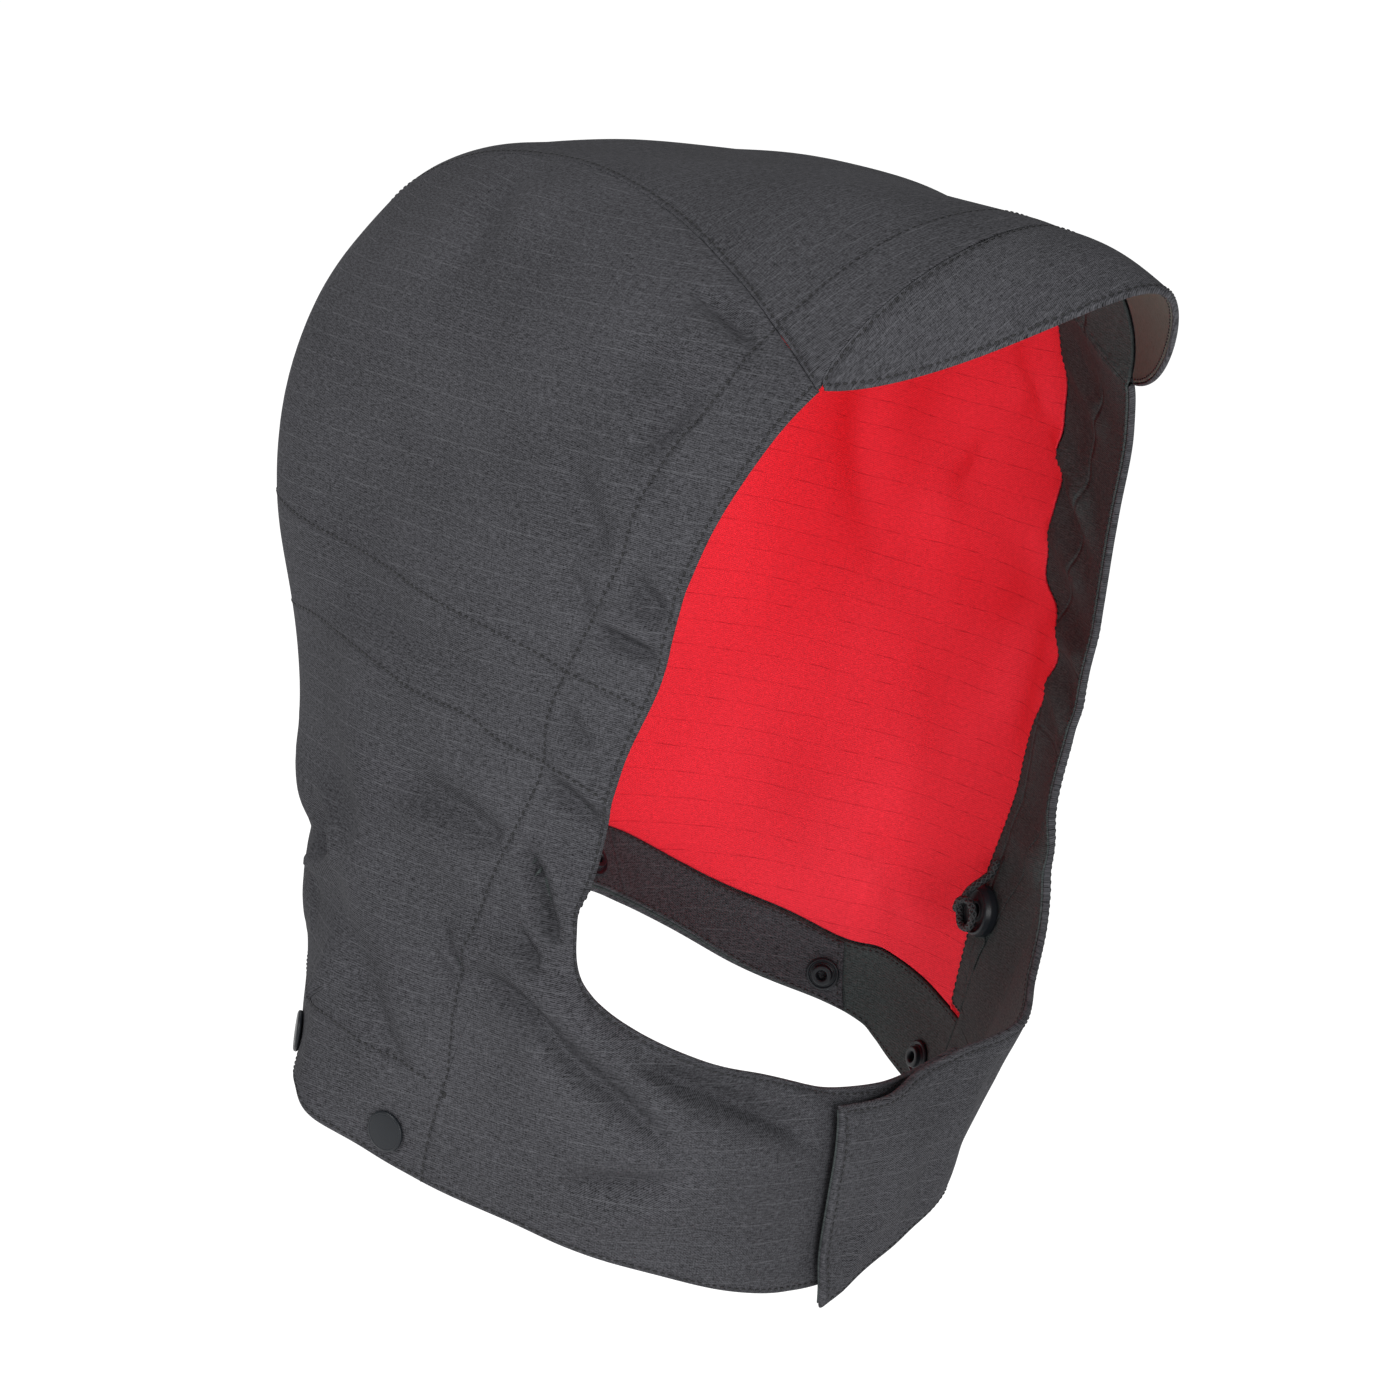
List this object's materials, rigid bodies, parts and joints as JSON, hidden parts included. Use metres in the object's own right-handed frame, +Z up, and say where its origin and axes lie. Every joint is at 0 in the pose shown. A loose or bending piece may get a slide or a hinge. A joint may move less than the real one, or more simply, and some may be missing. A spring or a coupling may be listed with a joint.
{
  "type": "detachable hood",
  "caption": "Worn-shape detachable hood with stiffened peak, lapped chin closure, snap sockets along the neck hem, contrast lining and a cord adjuster inside.",
  "frame": {"origin": "on the lining inside the crown, in the middle plane, where the head carries the hood", "axes": "+Z up as worn, face opening towards -Y, wearer's right at -X"},
  "size_m": [0.261, 0.3272, 0.3677],
  "materials": {
    "shell_fabric": "charcoal woven ripstop, dull",
    "lining_fabric": "red woven ripstop, dull",
    "facing_fabric": "brown-grey woven ripstop, dull",
    "peak_underside_fabric": "grey woven, dull",
    "snap_plastic": "moulded, satin",
    "elastic_cord": "braided, dull",
    "hook_loop": "woven hook and loop, dull"
  },
  "bodies": {
    "root": {"side_panel_right": "shell_fabric", "side_panel_left": "shell_fabric", "centre_panel": "shell_fabric", "peak": "shell_fabric", "facing_right": "facing_fabric", "facing_left": "facing_fabric", "facing_top": "facing_fabric", "neck_facing": "facing_fabric", "snap_strip": "shell_fabric", "lining": "lining_fabric", "peak_underside": "peak_underside_fabric", "loop_patch": "hook_loop", "hook_patch": "hook_loop", "snap_cap_1": "snap_plastic", "snap_socket_1": "snap_plastic", "snap_cap_2": "snap_plastic", "snap_socket_2": "snap_plastic", "snap_cap_3": "snap_plastic", "snap_socket_3": "snap_plastic", "snap_cap_4": "snap_plastic", "snap_socket_4": "snap_plastic", "snap_cap_5": "snap_plastic", "snap_socket_5": "snap_plastic", "snap_cap_6": "snap_plastic", "snap_socket_6": "snap_plastic", "cord_lock": "snap_plastic", "drawcord": "elastic_cord"}
  },
  "joints": []
}
